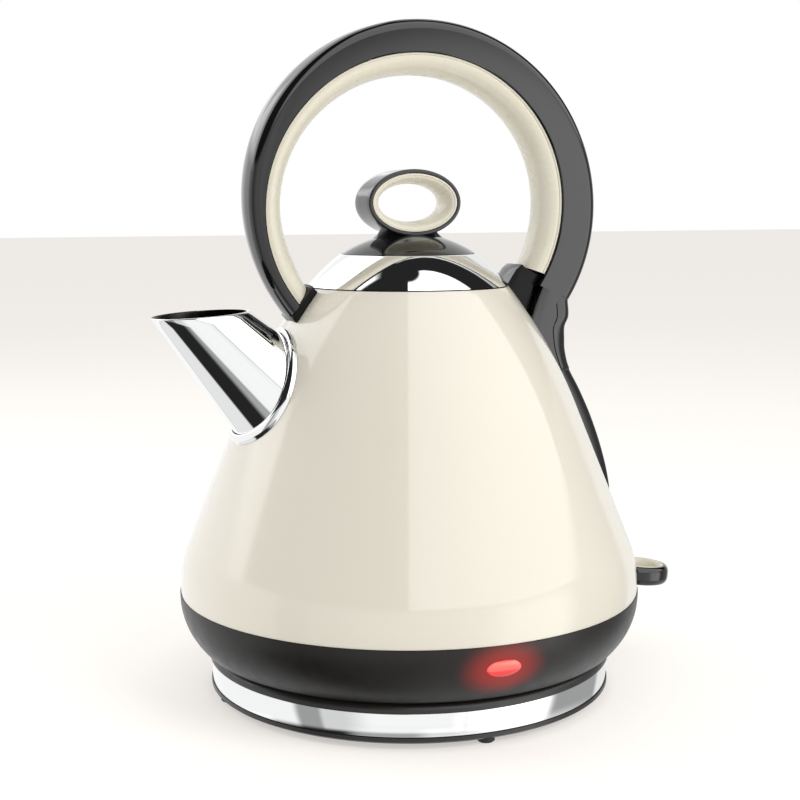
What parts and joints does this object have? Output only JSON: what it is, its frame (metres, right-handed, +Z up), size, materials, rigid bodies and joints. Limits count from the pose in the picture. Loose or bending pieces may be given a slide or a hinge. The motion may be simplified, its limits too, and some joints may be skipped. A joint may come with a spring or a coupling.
{
  "type": "electric kettle",
  "caption": "Cordless electric kettle: tapered cream body, chrome spout, lift-off domed lid with loop knob, ring handle, loop switch lever and round power base.",
  "frame": {"origin": "kettle axis at worktop level, under the middle of the power base", "axes": "+Z up along the kettle axis, -X towards the spout, +X towards the switch lever and the handle's tail, -Y towards the indicator lamp"},
  "size_m": [0.2372, 0.1971, 0.281],
  "materials": {
    "cream_enamel": "gloss",
    "cream_plastic": "satin",
    "black_gloss": "gloss",
    "black_satin": "satin",
    "chrome": "polished",
    "stainless": "brushed",
    "aluminium": "mill",
    "brass": "polished",
    "rubber_black": "matte",
    "silicone_grey": "matte",
    "red_lens": "gloss",
    "lamp_glass": "clear",
    "inner_plastic": "matte",
    "dark_inner_plastic": "matte",
    "element_sheath": "matte"
  },
  "bodies": {
    "power_base": {"base_bottom": "black_satin", "base_top": "black_satin", "base_trim_ring": "chrome", "base_feet": "rubber_black", "base_screws": "stainless", "base_connector": "dark_inner_plastic", "base_contacts": "brass", "base_terminals": "brass", "cord_gland": "rubber_black"},
    "connector": {"kettle_connector": "dark_inner_plastic", "connector_pin": "brass", "connector_rings": "brass"},
    "kettle": {"body_shell": "cream_enamel", "neck_collar": "dark_inner_plastic", "spout": "chrome", "spout_collar": "chrome", "base_skirt": "black_satin", "underside_cover": "black_satin", "cover_screws": "stainless", "heater_plate": "stainless", "plate_seal": "silicone_grey", "diffuser_plate": "aluminium", "heating_element": "element_sheath", "element_terminals": "brass", "control_unit": "inner_plastic", "bimetal_discs": "stainless", "steam_tube": "inner_plastic", "steam_tube_grommet": "silicone_grey", "indicator_lens": "red_lens", "indicator_lamp": "lamp_glass", "lamp_holder": "dark_inner_plastic", "switch_housing": "dark_inner_plastic", "switch_pivot_pin": "stainless", "trip_pivot_pin": "stainless", "handle_frame": "black_gloss", "handle_liner": "cream_plastic", "handle_front_foot": "black_gloss", "handle_rear_block": "black_gloss", "handle_tail": "black_gloss", "handle_brackets": "stainless", "handle_screws": "stainless", "filter_rails": "inner_plastic"},
    "lid": {"lid_dome": "chrome", "lid_cap": "black_gloss", "lid_knob": "black_gloss", "lid_knob_liner": "cream_plastic", "knob_screw": "stainless", "lid_plug": "dark_inner_plastic", "lid_seal": "silicone_grey", "lid_screws": "stainless"},
    "filter": {"filter_frame": "inner_plastic", "filter_mesh": "stainless"},
    "switch": {"switch_lever": "black_gloss", "switch_lever_liner": "cream_plastic"},
    "trip": {"trip_lever": "inner_plastic"}
  },
  "joints": [
    {"name": "kettle_lift", "type": "slide", "parent": "power_base", "child": "connector", "axis": [0, 0, 1], "range_m": [0, 0.08]},
    {"name": "kettle_spin", "type": "hinge", "parent": "connector", "child": "kettle", "pos_m": [0, 0, 0.032], "axis": [0, 0, 1], "continuous": true},
    {"name": "lid_lift", "type": "slide", "parent": "kettle", "child": "lid", "axis": [0, 0, 1], "range_m": [0, 0.03]},
    {"name": "filter_slide", "type": "slide", "parent": "kettle", "child": "filter", "axis": [0.4068, 0, 0.9135], "range_m": [0, 0.006]},
    {"name": "switch_rock", "type": "hinge", "parent": "kettle", "child": "switch", "pos_m": [0.087, 0, 0.0368], "axis": [0, -1, 0], "range_deg": [0, 12]},
    {"name": "trip_rock", "type": "hinge", "parent": "kettle", "child": "trip", "pos_m": [0.079, 0, 0.031], "axis": [0, -1, 0], "range_deg": [-10, 0]}
  ],
  "couplings": [
    {"joint": "trip_rock", "follows": "switch_rock", "ratio": -0.8}
  ]
}
